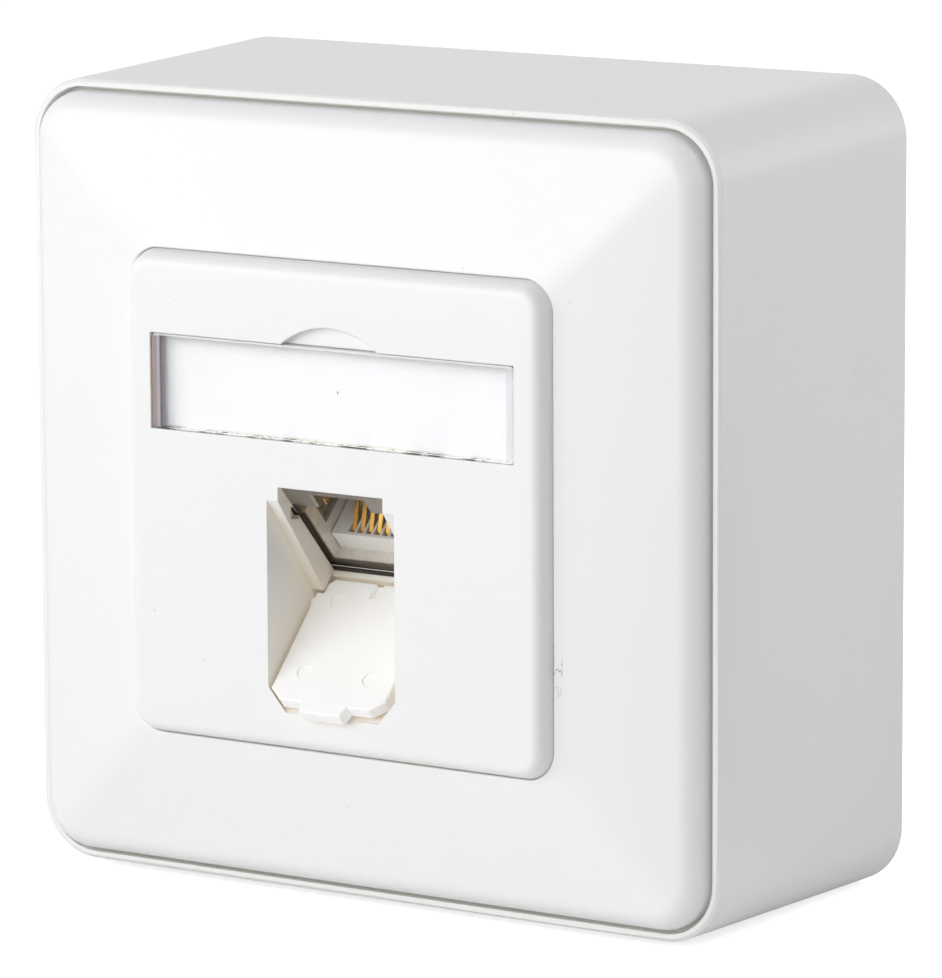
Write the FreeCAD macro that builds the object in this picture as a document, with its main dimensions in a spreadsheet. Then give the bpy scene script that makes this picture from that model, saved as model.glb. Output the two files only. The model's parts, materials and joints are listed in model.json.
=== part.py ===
import FreeCAD, Part
import math
import os
import re
import Sketcher

doc = FreeCAD.newDocument("jack_box")
sheet = doc.addObject("Spreadsheet::Sheet", "Dims")

# Driving sizes in millimetres and degrees. Depths named *_f are distances in front of the wall.
# "past" is how far a cut runs beyond the face it opens.
DRIVING = [
    ("past", 1.0), ("box_depth", 36.0), ("rim_half", 41.2), ("draft", 0.9), ("box_corner", 6.3),
    ("rim_lip", 0.8), ("rebate_depth", 1.6), ("rebate_corner", 5.6), ("box_wall", 2.2),
    ("cavity_corner", 4.4), ("back_thickness", 2.5), ("rim_round", 0.35),
    ("pillar_r", 3.5), ("pilot_r", 1.5), ("pilot_depth", 12.0),
    ("wall_slot_x", 20.0), ("wall_slot_z", 22.0), ("slot_r", 2.2), ("slot_half", 4.0),
    ("entry_r", 10.0), ("entry_z", -16.0), ("knock_half", 8.0), ("knock_height", 12.0),
    ("knock_skin", 0.9),
    ("frame_gap", 0.4), ("frame_corner", 5.4), ("frame_edge_rise", 2.04), ("frame_top_rise", 5.3),
    ("frame_round", 3.0), ("mitre_round", 9.0), ("frame_wall", 1.6),
    ("opening_half", 25.2), ("opening_corner", 3.2), ("opening_round", 0.2),
    ("ledge_width", 1.4), ("ledge_drop", 3.0),
    ("edge_roof", 2.4), ("mouth_roof", 1.76), ("skirt_sink", 1.12),
    ("plate_gap", 0.1), ("plate_corner", 3.0), ("plate_rise", 7.0), ("plate_lip", 2.0),
    ("plate_taper", 19.3), ("plate_round", 1.2), ("plate_wall", 1.6),
    ("label_half", 21.8), ("label_z", 11.8), ("label_height", 9.9), ("label_depth", 2.0),
    ("label_floor", 1.2), ("label_margin", 1.3), ("notch_top_z", 18.8), ("notch_half", 5.8),
    ("notch_depth", 1.0),
    ("window_gap", 0.1), ("window_thick", 1.45), ("window_sink", 0.05), ("card_gap", 0.25),
    ("card_thick", 0.2),
    ("support_half_inset", 3.5), ("support_thick", 1.2), ("support_drop", 5.0),
    ("support_open_x", 11.0), ("support_low_z", -22.0), ("support_high_z", 18.0),
    ("plate_screw_x", 14.5), ("screw_r", 1.45), ("head_r", 2.9), ("head_height", 1.8),
    ("hole_gap", 0.15), ("screw_length", 11.0), ("carrier_screw_x", 14.0), ("foot_thick", 1.8),
    ("head_bevel", 0.5), ("head_gap", 0.3), ("well_wall", 1.2),
    ("cross_reach", 1.7), ("cross_half", 0.35), ("cross_depth", 0.9),
    ("port_half", 7.65), ("collar_half", 6.3), ("cheek_half", 9.2), ("tilt", 43.5),
    ("jack_drop", 10.17), ("jack_z", -8.06), ("shell_half", 7.3), ("shell_height", 13.7),
    ("shell_depth", 14.0), ("cavity_half", 5.9), ("shell_sill", 1.4), ("shell_roof", 0.8),
    ("latch_half", 3.1), ("latch_step", 2.0), ("fit_gap", 0.1), ("sleeve_gap", 0.2),
    ("insert_set", 2.0), ("comb_height", 2.4), ("contact_pitch", 1.02), ("contact_width", 0.5),
    ("comb_slot", 0.72), ("board_thick", 1.4), ("idc_depth", 7.5), ("groove_depth", 3.0),
    ("cap_depth", 4.2), ("cap_groove", 1.4),
    ("cover_wall", 1.1), ("cover_round", 1.2), ("cover_depth", 15.5), ("cable_r", 3.8),
    ("rim_step", 0.6), ("step_depth", 0.45), ("spring_room", 0.65), ("spring_set", 2.4),
    ("spring_long", 7.6), ("spring_low", -9.4), ("spring_high", -5.2), ("spring_thick", 0.22),
    ("hinge_drop", 8.45), ("hinge_z", -11.33), ("flap_angle", 224.67), ("flap_half", 6.95),
    ("flap_shift", 0.4), ("flap_thick", 1.6), ("flap_rear", 2.68), ("flap_length", 12.4),
    ("flap_chamfer", 1.6), ("flap_chamfer_rise", 1.3), ("tab_half", 2.86), ("tab_length", 13.6),
    ("tab_slant", 0.4), ("flap_bevel", 0.15), ("mark_r", 0.8), ("mark_x", 3.95), ("mark_depth", 0.08),
    ("rear_half", 6.15), ("rear_long", 1.8),
    ("rear_cut", 0.7), ("rear_notch_half", 0.53), ("rear_notch_end", -0.8), ("rear_notch_depth", 0.6),
    ("pin_r", 0.55), ("pin_gap", 0.05), ("pin_length", 1.6), ("flap_gap", 0.3),
]

# Sizes that follow from the driving ones.
DERIVED = [
    ("back_half", "rim_half + draft"),
    ("frame_half", "rim_half - rim_lip - frame_gap"),
    ("rebate_half", "rim_half - rim_lip"),
    ("cavity_wide", "rim_half - box_wall"),
    ("rebate_f", "box_depth - rebate_depth"),
    ("frame_edge_f", "box_depth + frame_edge_rise"),
    ("frame_top_f", "box_depth + frame_top_rise"),
    ("frame_slope", "(frame_top_rise - frame_edge_rise) / (frame_half - opening_half)"),
    ("skirt_half", "opening_half + frame_wall"),
    ("pillar_x", "skirt_half + head_r + head_gap"),
    ("face_f", "box_depth + plate_rise"),
    ("plate_back_f", "face_f - plate_lip"),
    ("ledge_f", "frame_top_f - ledge_drop"),
    ("plate_half", "opening_half - plate_gap"),
    ("support_half", "cavity_wide - support_half_inset"),
    ("support_back_f", "box_depth - support_drop"),
    ("support_f", "support_back_f + support_thick"),
    ("label_low", "label_z - label_height / 2"),
    ("label_high", "label_z + label_height / 2"),
    ("label_f", "face_f - label_depth"),
    ("label_floor_f", "label_f - label_floor"),
    ("notch_rise", "notch_top_z - label_high"),
    ("notch_r", "(notch_half ^ 2 + notch_rise ^ 2) / (2 * notch_rise)"),
    ("jack_f", "face_f - jack_drop"),
    ("hinge_f", "face_f - hinge_drop"),
    ("swing_r", "sqrt(flap_rear ^ 2 + flap_thick ^ 2 / 4) + flap_gap + 0.05"),
    ("cover_half", "shell_half + cover_wall + fit_gap * 2"),
    ("board_w", "shell_depth"),
    ("idc_w", "board_w + board_thick"),
    ("cap_w", "idc_w + idc_depth"),
]


def fill_sheet():
    """Write every driving size as a plain number and every derived one as a formula."""
    for row, (alias, value) in enumerate(DRIVING, 1):
        sheet.set("A%d" % row, alias)
        sheet.set("B%d" % row, str(value))
        sheet.setAlias("B%d" % row, alias)
    for row, (alias, formula) in enumerate(DERIVED, len(DRIVING) + 1):
        sheet.set("A%d" % row, alias)
        sheet.setAlias("B%d" % row, alias)
        sheet.set("B%d" % row, "=" + formula)
    doc.recompute()


fill_sheet()
ALIASES = set(name for name, size in DRIVING + DERIVED)
PARTS = []
TINY = 1e-4


def linked(formula):
    """The formula with each size name pointing at its cell in the sheet."""
    words = re.split(r"([a-z_]+)", str(formula))
    return "".join("Dims." + word if word in ALIASES else word for word in words)


def size(formula):
    """The present value of a formula, as a plain number."""
    return float(doc.Dims.evalExpression(linked(formula)))


def bind(obj, prop, formula):
    obj.setExpression(prop, linked(formula))


def new_body(label, place=None):
    """An empty body that will be one sub-part."""
    body = doc.addObject("PartDesign::Body", label)
    body.Label = label
    PARTS.append(body)
    if place:
        place(body)
    return body


def plane_of(body, role):
    return [item for item in body.Origin.OriginFeatures if item.Role == role][0]


def new_sketch(body, role, offset):
    """A sketch on one of the body's own planes, moved out along the plane's normal."""
    sketch = body.newObject("Sketcher::SketchObject", "Outline")
    sketch.AttachmentSupport = [(plane_of(body, role), "")]
    sketch.MapMode = "FlatFace"
    sketch.AttachmentOffset = FreeCAD.Placement(FreeCAD.Vector(0, 0, size(offset)), FreeCAD.Rotation())
    bind(sketch, "AttachmentOffset.Base.z", offset)
    return sketch


def pin_point(sketch, item, end, across, up):
    """Tie one point of the sketch to the sheet, measured from the sketch's origin."""
    for kind, formula in (("DistanceX", across), ("DistanceY", up)):
        index = sketch.addConstraint(Sketcher.Constraint(kind, -1, 1, item, end, size(formula)))
        bind(sketch, "Constraints[%d]" % index, formula)


def set_radius(sketch, item, formula):
    index = sketch.addConstraint(Sketcher.Constraint("Radius", item, size(formula)))
    bind(sketch, "Constraints[%d]" % index, formula)


def add_outline(sketch, corners):
    """A closed outline of straight lines with every corner tied to the sheet."""
    points = [FreeCAD.Vector(size(a), size(b), 0) for a, b in corners]
    first = None
    for start, end in zip(points, points[1:] + points[:1]):
        item = sketch.addGeometry(Part.LineSegment(start, end), False)
        first = item if first is None else first
    count = len(points)
    for step in range(count):
        after = first + (step + 1) % count
        sketch.addConstraint(Sketcher.Constraint("Coincident", first + step, 2, after, 1))
    for step, (across, up) in enumerate(corners):
        pin_point(sketch, first + step, 1, across, up)


def rectangle(x0, x1, y0, y1):
    return [(x0, y0), (x1, y0), (x1, y1), (x0, y1)]


def square(half):
    return rectangle("-(%s)" % half, half, "-(%s)" % half, half)


def add_circle(sketch, across, up, radius):
    centre = FreeCAD.Vector(size(across), size(up), 0)
    item = sketch.addGeometry(Part.Circle(centre, FreeCAD.Vector(0, 0, 1), size(radius)), False)
    pin_point(sketch, item, 3, across, up)
    set_radius(sketch, item, radius)


def add_slot(sketch, across, up, half, radius):
    """A slot along the first axis: two straight sides and two half circles."""
    x, y, reach, r = size(across), size(up), size(half) - size(radius), size(radius)
    normal = FreeCAD.Vector(0, 0, 1)
    right = Part.Circle(FreeCAD.Vector(x + reach, y, 0), normal, r)
    left = Part.Circle(FreeCAD.Vector(x - reach, y, 0), normal, r)
    a = sketch.addGeometry(Part.ArcOfCircle(right, -math.pi / 2, math.pi / 2), False)
    b = sketch.addGeometry(Part.ArcOfCircle(left, math.pi / 2, 3 * math.pi / 2), False)
    top = (FreeCAD.Vector(x + reach, y + r, 0), FreeCAD.Vector(x - reach, y + r, 0))
    low = (FreeCAD.Vector(x - reach, y - r, 0), FreeCAD.Vector(x + reach, y - r, 0))
    c = sketch.addGeometry(Part.LineSegment(*top), False)
    d = sketch.addGeometry(Part.LineSegment(*low), False)
    for one, one_end, two, two_end in ((a, 2, c, 1), (c, 2, b, 1), (b, 2, d, 1), (d, 2, a, 1)):
        sketch.addConstraint(Sketcher.Constraint("Tangent", one, one_end, two, two_end))
    pin_point(sketch, a, 3, "%s + %s - (%s)" % (across, half, radius), up)
    pin_point(sketch, b, 3, "%s - (%s) + %s" % (across, half, radius), up)
    set_radius(sketch, a, radius)
    set_radius(sketch, b, radius)


def add_rounded(sketch, x0, x1, y0, y1, radius):
    """A rectangle with four equal round corners."""
    a, b, c, d, r = size(x0), size(x1), size(y0), size(y1), size(radius)
    normal = FreeCAD.Vector(0, 0, 1)
    centres = [(b - r, c + r), (b - r, d - r), (a + r, d - r), (a + r, c + r)]
    sides = [((a + r, c), (b - r, c)), ((b, c + r), (b, d - r)),
             ((b - r, d), (a + r, d)), ((a, d - r), (a, c + r))]
    lines = []
    arcs = []
    for turn in range(4):
        start, end = sides[turn]
        ends = (FreeCAD.Vector(start[0], start[1], 0), FreeCAD.Vector(end[0], end[1], 0))
        lines.append(sketch.addGeometry(Part.LineSegment(*ends), False))
        circle = Part.Circle(FreeCAD.Vector(centres[turn][0], centres[turn][1], 0), normal, r)
        low = -math.pi / 2 + turn * math.pi / 2
        arcs.append(sketch.addGeometry(Part.ArcOfCircle(circle, low, low + math.pi / 2), False))
    for turn in range(4):
        sketch.addConstraint(Sketcher.Constraint("Tangent", lines[turn], 2, arcs[turn], 1))
        sketch.addConstraint(Sketcher.Constraint("Tangent", arcs[turn], 2, lines[(turn + 1) % 4], 1))
    left, right = "%s + (%s)" % (x0, radius), "%s - (%s)" % (x1, radius)
    low, high = "%s + (%s)" % (y0, radius), "%s - (%s)" % (y1, radius)
    for arc, place in zip(arcs, ((right, low), (right, high), (left, high), (left, low))):
        pin_point(sketch, arc, 3, *place)
    for arc in arcs:
        set_radius(sketch, arc, radius)


def squared(sketch, half, radius):
    add_rounded(sketch, "-(%s)" % half, half, "-(%s)" % half, half, radius)


def grow(body, kind, sketch, length, reverse=False, both=False):
    """A pad or pocket of the sketch."""
    feature = body.newObject("PartDesign::" + kind, kind)
    feature.Profile = sketch
    feature.Reversed = reverse
    feature.Midplane = both
    feature.Length = size(length)
    bind(feature, "Length", length)
    sketch.Visibility = False
    doc.recompute()
    return feature


def pad(body, sketch, length, reverse=False, both=False):
    return grow(body, "Pad", sketch, length, reverse, both)


def pocket(body, sketch, length, reverse=False, both=False):
    before = body.Shape.Volume
    feature = grow(body, "Pocket", sketch, length, reverse, both)
    if body.Shape.Volume >= before - 1e-6:
        raise RuntimeError(body.Label + ": a pocket cuts nothing")
    return feature


def round_edges(body, wanted, radius, kind="Fillet"):
    """Round (or chamfer) each edge of the body that the test picks."""
    base = body.Tip
    names = ["Edge%d" % (n + 1) for n, edge in enumerate(base.Shape.Edges) if wanted(edge)]
    if not names:
        raise RuntimeError(body.Label + ": no edge to round")
    feature = body.newObject("PartDesign::" + kind, kind)
    feature.Base = (base, names)
    prop = "Radius" if kind == "Fillet" else "Size"
    setattr(feature, prop, size(radius))
    bind(feature, prop, radius)
    doc.recompute()
    return feature


def points_of(edge):
    low, high = edge.ParameterRange
    return [edge.valueAt(low + (high - low) * t) for t in (0.0, 0.5, 1.0)]


def at_front(depth):
    """A test for edges that lie in the plane at this distance from the wall."""
    level = -size(depth)

    def in_plane(edge):
        return all(abs(p.y - level) < TINY for p in points_of(edge))
    return in_plane


def spread(edge):
    return max(max(abs(p.x), abs(p.z)) for p in points_of(edge))


def in_module(body):
    """Local x across, y down the jack's face, z into the jack."""
    tilt = FreeCAD.Rotation(FreeCAD.Vector(1, 0, 0), size("tilt - 90"))
    body.Placement = FreeCAD.Placement(FreeCAD.Vector(0, -size("jack_f"), size("jack_z")), tilt)
    bind(body, "Placement.Base.y", "-jack_f")
    bind(body, "Placement.Base.z", "jack_z")
    bind(body, "Placement.Rotation.Angle", "tilt - 90")


def in_flap(body):
    """Local x across, y along the flap from the hinge, z out of its underside."""
    turn = FreeCAD.Rotation(FreeCAD.Vector(1, 0, 0), size("flap_angle"))
    place = FreeCAD.Vector(-size("flap_shift"), -size("hinge_f"), size("hinge_z"))
    body.Placement = FreeCAD.Placement(place, turn)
    bind(body, "Placement.Base.x", "-flap_shift")
    bind(body, "Placement.Base.y", "-hinge_f")
    bind(body, "Placement.Base.z", "hinge_z")


def outlines(body, role, offset, *loops):
    """A sketch holding one or more closed outlines."""
    sketch = new_sketch(body, role, offset)
    for loop in loops:
        add_outline(sketch, loop)
    return sketch


def circles(body, role, offset, *rounds):
    sketch = new_sketch(body, role, offset)
    for across, up, radius in rounds:
        add_circle(sketch, across, up, radius)
    return sketch


def pair(body, offset, across, up, radius):
    """Two equal circles, right and left, on a plane in front of the wall."""
    return circles(body, "XZ_Plane", offset, (across, up, radius), ("-" + across, up, radius))


def module_block(body, half, v0, v1, w0, w1):
    """A straight block across the module, between two heights and two depths."""
    sketch = outlines(body, "XY_Plane", w0, rectangle("-(%s)" % half, half, v0, v1))
    pad(body, sketch, "(%s) - (%s)" % (w1, w0))


def module_cut(body, half, v0, v1, w0, w1):
    """The same block taken away."""
    sketch = outlines(body, "XY_Plane", w0, rectangle("-(%s)" % half, half, v0, v1))
    pocket(body, sketch, "(%s) - (%s)" % (w1, w0), reverse=True)


def side_profile(corners):
    """Corners given as distance in front of the wall and height, as the side plane wants them."""
    return [("-(%s)" % depth, height) for depth, height in corners]


def make_back_box():
    """Drafted wall housing: rebated rim, two screw pillars, fixing slots and a cable entry."""
    body = new_body("back_box")
    wall = outlines(body, "XZ_Plane", "0", square("back_half"))
    rim = outlines(body, "XZ_Plane", "box_depth", square("rim_half"))
    hull = body.newObject("PartDesign::AdditiveLoft", "Hull")
    hull.Profile = wall
    hull.Sections = [rim]
    hull.Ruled = True
    doc.recompute()
    round_edges(body, on_box_corner, "box_corner")
    step = new_sketch(body, "XZ_Plane", "box_depth")
    squared(step, "rebate_half", "rebate_corner")
    pocket(body, step, "rebate_depth")
    hollow = new_sketch(body, "XZ_Plane", "box_depth")
    squared(hollow, "cavity_wide", "cavity_corner")
    pocket(body, hollow, "box_depth - back_thickness")
    posts = pair(body, "back_thickness", "pillar_x", "0", "pillar_r")
    pad(body, posts, "support_back_f - back_thickness")
    pilots = pair(body, "support_back_f", "pillar_x", "0", "pilot_r")
    pocket(body, pilots, "pilot_depth")
    slots = new_sketch(body, "XZ_Plane", "back_thickness")
    for across in ("wall_slot_x", "-wall_slot_x"):
        for up in ("wall_slot_z", "-wall_slot_z"):
            add_slot(slots, across, up, "slot_half", "slot_r")
    add_circle(slots, "0", "entry_z", "entry_r")
    pocket(body, slots, "back_thickness + past")
    knock_top = "back_thickness + knock_height"
    skin = "back_half - draft * (%s) / box_depth - knock_skin" % knock_top
    inside = "(cavity_wide - past / 2)"
    knocks = outlines(body, "XZ_Plane", knock_top,
                      rectangle("-knock_half", "knock_half", "-(%s)" % skin, "-" + inside),
                      rectangle("-knock_half", "knock_half", inside, skin))
    pocket(body, knocks, "knock_height")
    round_edges(body, on_outer_rim, "rim_round", "Chamfer")


def on_box_corner(edge):
    """True for an edge that runs from the wall to the rim."""
    start, middle, end = points_of(edge)
    return abs(start.y - end.y) > size("box_depth") / 2


def on_outer_rim(edge):
    """True for the housing's outermost front edge."""
    return at_front("box_depth")(edge) and spread(edge) > size("rebate_half + rim_lip / 4")


def make_support_frame():
    """Flat metal ring on the pillars, open in the middle for the module."""
    body = new_body("support_frame")
    plate = new_sketch(body, "XZ_Plane", "support_back_f")
    squared(plate, "support_half", "plate_corner")
    pad(body, plate, "support_thick")
    middle = rectangle("-support_open_x", "support_open_x", "support_low_z", "support_high_z")
    holes = outlines(body, "XZ_Plane", "support_f", middle)
    for side in ("", "-"):
        add_slot(holes, side + "pillar_x", "0", "slot_half", "screw_r + hole_gap")
        add_circle(holes, side + "plate_screw_x", "label_z", "screw_r + hole_gap")
        add_circle(holes, side + "carrier_screw_x", "0", "screw_r + hole_gap")
    pocket(body, holes, "support_thick + past")


def cross_outline(across, up):
    """The twelve corners of a cross recess around a point."""
    long_way, narrow = "cross_reach", "cross_half"
    steps = [(long_way, narrow, 1, -1), (long_way, narrow, 1, 1), (narrow, narrow, 1, 1),
             (narrow, long_way, 1, 1), (narrow, long_way, -1, 1), (narrow, narrow, -1, 1),
             (long_way, narrow, -1, 1), (long_way, narrow, -1, -1), (narrow, narrow, -1, -1),
             (narrow, long_way, -1, -1), (narrow, long_way, 1, -1), (narrow, narrow, 1, -1)]
    return [("%s + %d * %s" % (across, sx, a), "%s + %d * %s" % (up, sy, b)) for a, b, sx, sy in steps]


def make_screws(label, across, up, under_f, length, outward=True):
    """A left and right pair of equal pan-head screws, seated on a face, with cross recesses."""
    body = new_body(label)
    spots = [(side + across, up) for side in ("", "-")]
    top = "%s + head_height" % under_f if outward else "%s - head_height" % under_f
    shanks = circles(body, "XZ_Plane", under_f, *[(x, z, "screw_r") for x, z in spots])
    pad(body, shanks, length, reverse=outward)
    heads = circles(body, "XZ_Plane", under_f, *[(x, z, "head_r") for x, z in spots])
    pad(body, heads, "head_height", reverse=not outward)
    round_edges(body, at_front(top), "head_bevel", "Chamfer")
    crosses = outlines(body, "XZ_Plane", top, *[cross_outline(x, z) for x, z in spots])
    pocket(body, crosses, "cross_depth", reverse=not outward)


def make_cover_frame():
    """Square bevelled frame: sloping mitred faces, rounded outer edge, inner skirt and ledge."""
    body = new_body("cover_frame")
    outer = new_sketch(body, "XZ_Plane", "rebate_f")
    squared(outer, "frame_half", "frame_corner")
    pad(body, outer, "frame_top_f + past - rebate_f")
    slope = outlines(body, "XY_Plane", "0", [
        ("opening_half - past * 2", "-frame_top_f - past * 2 * frame_slope"),
        ("frame_half + past", "-frame_edge_f + past * frame_slope"),
        ("frame_half + past", "-frame_top_f - past * 2"),
        ("opening_half - past * 2", "-frame_top_f - past * 2")])
    bevel = pocket(body, slope, "frame_half * 4", both=True)
    turn_four(body, bevel)
    round_edges(body, is_mitre, "mitre_round")
    round_edges(body, on_frame_shoulder, "frame_round")
    inner = "frame_half - frame_wall"
    hollow = new_sketch(body, "XZ_Plane", "rebate_f")
    squared(hollow, inner, "frame_corner - frame_wall")
    pocket(body, hollow, "frame_edge_f - edge_roof - rebate_f", reverse=True)
    low_ring = outlines(body, "XZ_Plane", "frame_edge_f - edge_roof", square(inner))
    high_ring = outlines(body, "XZ_Plane", "frame_top_f - mouth_roof", square("opening_half"))
    under = body.newObject("PartDesign::SubtractiveLoft", "Underside")
    under.Profile = low_ring
    under.Sections = [high_ring]
    under.Ruled = True
    doc.recompute()
    skirt = new_sketch(body, "XZ_Plane", "support_f")
    squared(skirt, "skirt_half", "opening_corner + frame_wall")
    squared(skirt, "opening_half - ledge_width", "opening_corner")
    pad(body, skirt, "frame_top_f - skirt_sink - support_f")
    mouth = new_sketch(body, "XZ_Plane", "frame_top_f + past * 2")
    squared(mouth, "opening_half", "opening_corner")
    pocket(body, mouth, "frame_top_f + past * 2 - ledge_f")
    round_edges(body, on_frame_mouth, "opening_round")


def on_frame_shoulder(edge):
    """True for an edge between the frame's side wall and its sloping faces."""
    front = -size("rebate_f + past / 2")
    on_wall = all(on_frame_wall(p) and p.y < front for p in points_of(edge))
    return on_wall and not runs_forward(edge)


def on_frame_mouth(edge):
    """True for a front edge of the frame's opening."""
    front = -size("frame_top_f - past / 2")
    reach = size("opening_half + past / 20")
    at_mouth = all(p.y < front for p in points_of(edge)) and spread(edge) < reach
    return at_mouth and not runs_forward(edge) and not is_mitre(edge)


def is_mitre(edge):
    """True for an edge that runs along one of the two diagonals."""
    ends = points_of(edge)
    return all(abs(abs(p.x) - abs(p.z)) < TINY for p in ends) and abs(ends[0].x - ends[2].x) > 1


def runs_forward(edge):
    """True for an edge square to the wall."""
    ends = points_of(edge)
    return max(abs(ends[0].x - ends[2].x), abs(ends[0].z - ends[2].z)) < TINY


def on_frame_wall(point):
    """True for a point on the frame's outer side wall, its round corners included."""
    half, corner = size("frame_half"), size("frame_corner")
    across, up = abs(point.x) - half + corner, abs(point.z) - half + corner
    if across > 0 and up > 0:
        return abs(math.hypot(across, up) - corner) < 1e-3
    return abs(max(across, up) - corner) < 1e-3


def turn_four(body, feature):
    """Repeat a cut on all four sides."""
    pattern = body.newObject("PartDesign::PolarPattern", "FourSides")
    pattern.Originals = [feature]
    pattern.Axis = (plane_of(body, "Y_Axis"), [""])
    pattern.Angle = 360
    pattern.Occurrences = 4
    body.Tip = pattern
    doc.recompute()


def make_centre_plate():
    """Central plate: tapered edge, label recess with finger notch, and the slanted port funnel."""
    body = new_body("centre_plate")
    base = new_sketch(body, "XZ_Plane", "ledge_f")
    squared(base, "plate_half", "plate_corner")
    pad(body, base, "plate_back_f - ledge_f")
    lip = new_sketch(body, "XZ_Plane", "plate_back_f")
    squared(lip, "plate_half", "plate_corner")
    slab = pad(body, lip, "plate_lip")
    slab.TaperAngle = -size("plate_taper")
    bind(slab, "TaperAngle", "-plate_taper")
    doc.recompute()
    round_edges(body, at_front("face_f"), "plate_round")
    hollow = new_sketch(body, "XZ_Plane", "ledge_f")
    squared(hollow, "plate_half - plate_wall", "plate_corner - plate_wall")
    pocket(body, hollow, "plate_back_f - ledge_f", reverse=True)
    floor = outlines(body, "XZ_Plane", "label_floor_f", rectangle(
        "-label_half - label_margin", "label_half + label_margin",
        "label_low - label_margin", "notch_top_z + label_margin"))
    pad(body, floor, "label_f - label_floor_f")
    funnel = outlines(body, "YZ_Plane", "0", side_profile([
        ("face_f - 1.8", "3.8"), ("face_f - 3.6", "3.8"), ("face_f - 12.8", "jack_z + 2.06"),
        ("face_f - 13.4", "jack_z - 2.54"), ("face_f - 12.7", "jack_z - 5.04"),
        ("face_f - 10.7", "jack_z - 6.94"), ("face_f - 1.8", "jack_z - 15.84")]))
    pad(body, funnel, "cheek_half * 2", both=True)
    cut_label(body)
    cut_port(body)
    cut_flap_bed(body)
    cut_jack_room(body)


def cut_label(body):
    """Label recess, its finger notch and the two screw holes in its floor."""
    window = rectangle("-label_half", "label_half", "label_low", "label_high")
    recess = outlines(body, "XZ_Plane", "face_f", window)
    pocket(body, recess, "label_depth")
    notch = new_sketch(body, "XZ_Plane", "face_f")
    centre = "notch_top_z - notch_r"
    rise = size("label_high") - size(centre)
    start = math.atan2(rise, size("notch_half"))
    circle = Part.Circle(FreeCAD.Vector(0, size(centre), 0), FreeCAD.Vector(0, 0, 1), size("notch_r"))
    arc = notch.addGeometry(Part.ArcOfCircle(circle, start, math.pi - start), False)
    ends = (FreeCAD.Vector(-size("notch_half"), size("label_high"), 0),
            FreeCAD.Vector(size("notch_half"), size("label_high"), 0))
    chord = notch.addGeometry(Part.LineSegment(*ends), False)
    notch.addConstraint(Sketcher.Constraint("Coincident", arc, 2, chord, 1))
    notch.addConstraint(Sketcher.Constraint("Coincident", chord, 2, arc, 1))
    pin_point(notch, chord, 1, "-notch_half", "label_high")
    pin_point(notch, chord, 2, "notch_half", "label_high")
    set_radius(notch, arc, "notch_r")
    pocket(body, notch, "notch_depth")
    holes = pair(body, "label_f", "plate_screw_x", "label_z", "screw_r + hole_gap")
    pocket(body, holes, "label_floor + past")
    sinks = pair(body, "label_f", "plate_screw_x", "label_z", "head_r + hole_gap")
    wells = pair(body, "label_floor_f - head_height", "plate_screw_x", "label_z", "head_r + well_wall")
    pad(body, wells, "head_height")
    pocket(body, sinks, "head_height + 0.1")
    shanks = pair(body, "label_floor_f", "plate_screw_x", "label_z", "screw_r + hole_gap")
    pocket(body, shanks, "head_height + past")


def cut_port(body):
    """The open way from the face to the jack: full width in front of the collars, narrower behind."""
    wide = outlines(body, "YZ_Plane", "0", side_profile([
        ("face_f + 0.6", "jack_z + 9.45"), ("jack_f + 1.67", "jack_z - 2.07"),
        ("jack_f + 1.24", "jack_z - 2.4"),
        ("face_f - 0.77", "jack_z - 10.24"), ("face_f + 0.6", "jack_z - 10.24")]))
    pocket(body, wide, "port_half * 2", both=True)
    throat = outlines(body, "YZ_Plane", "0", side_profile([
        ("face_f + 0.6", "jack_z + 10.14"),
        ("jack_f + 10.14 * tan(tilt)", "jack_z + 10.14"),
        ("jack_f", "jack_z"), ("jack_f + 0.45", "jack_z - 0.85"),
        ("jack_f + 1.77", "jack_z - 2.15"), ("face_f + 0.6", "jack_z + 9.3")]))
    pocket(body, throat, "collar_half * 2", both=True)
    detent = outlines(body, "YZ_Plane", "0", side_profile([
        ("face_f - 2.4", "jack_z + 7.76"), ("face_f - 3.3", "jack_z + 7.66"),
        ("face_f - 4.0", "jack_z + 6.36"), ("face_f - 2.35", "jack_z + 6.56")]))
    pocket(body, detent, "collar_half * 2 + 1.2", both=True)


def tilted_sketch(body, depth, height, angle, offset):
    """A sketch turned about the across axis, set a distance along its own normal."""
    sketch = body.newObject("Sketcher::SketchObject", "Outline")
    sketch.AttachmentSupport = [(plane_of(body, "XY_Plane"), "")]
    sketch.MapMode = "FlatFace"
    across = "-(%s) - (%s) * sin(%s)" % (depth, offset, angle)
    up = "%s + (%s) * cos(%s)" % (height, offset, angle)
    turn = FreeCAD.Rotation(FreeCAD.Vector(1, 0, 0), size(angle))
    sketch.AttachmentOffset = FreeCAD.Placement(FreeCAD.Vector(0, size(across), size(up)), turn)
    bind(sketch, "AttachmentOffset.Base.y", across)
    bind(sketch, "AttachmentOffset.Base.z", up)
    bind(sketch, "AttachmentOffset.Rotation.Angle", angle)
    return sketch


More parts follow.
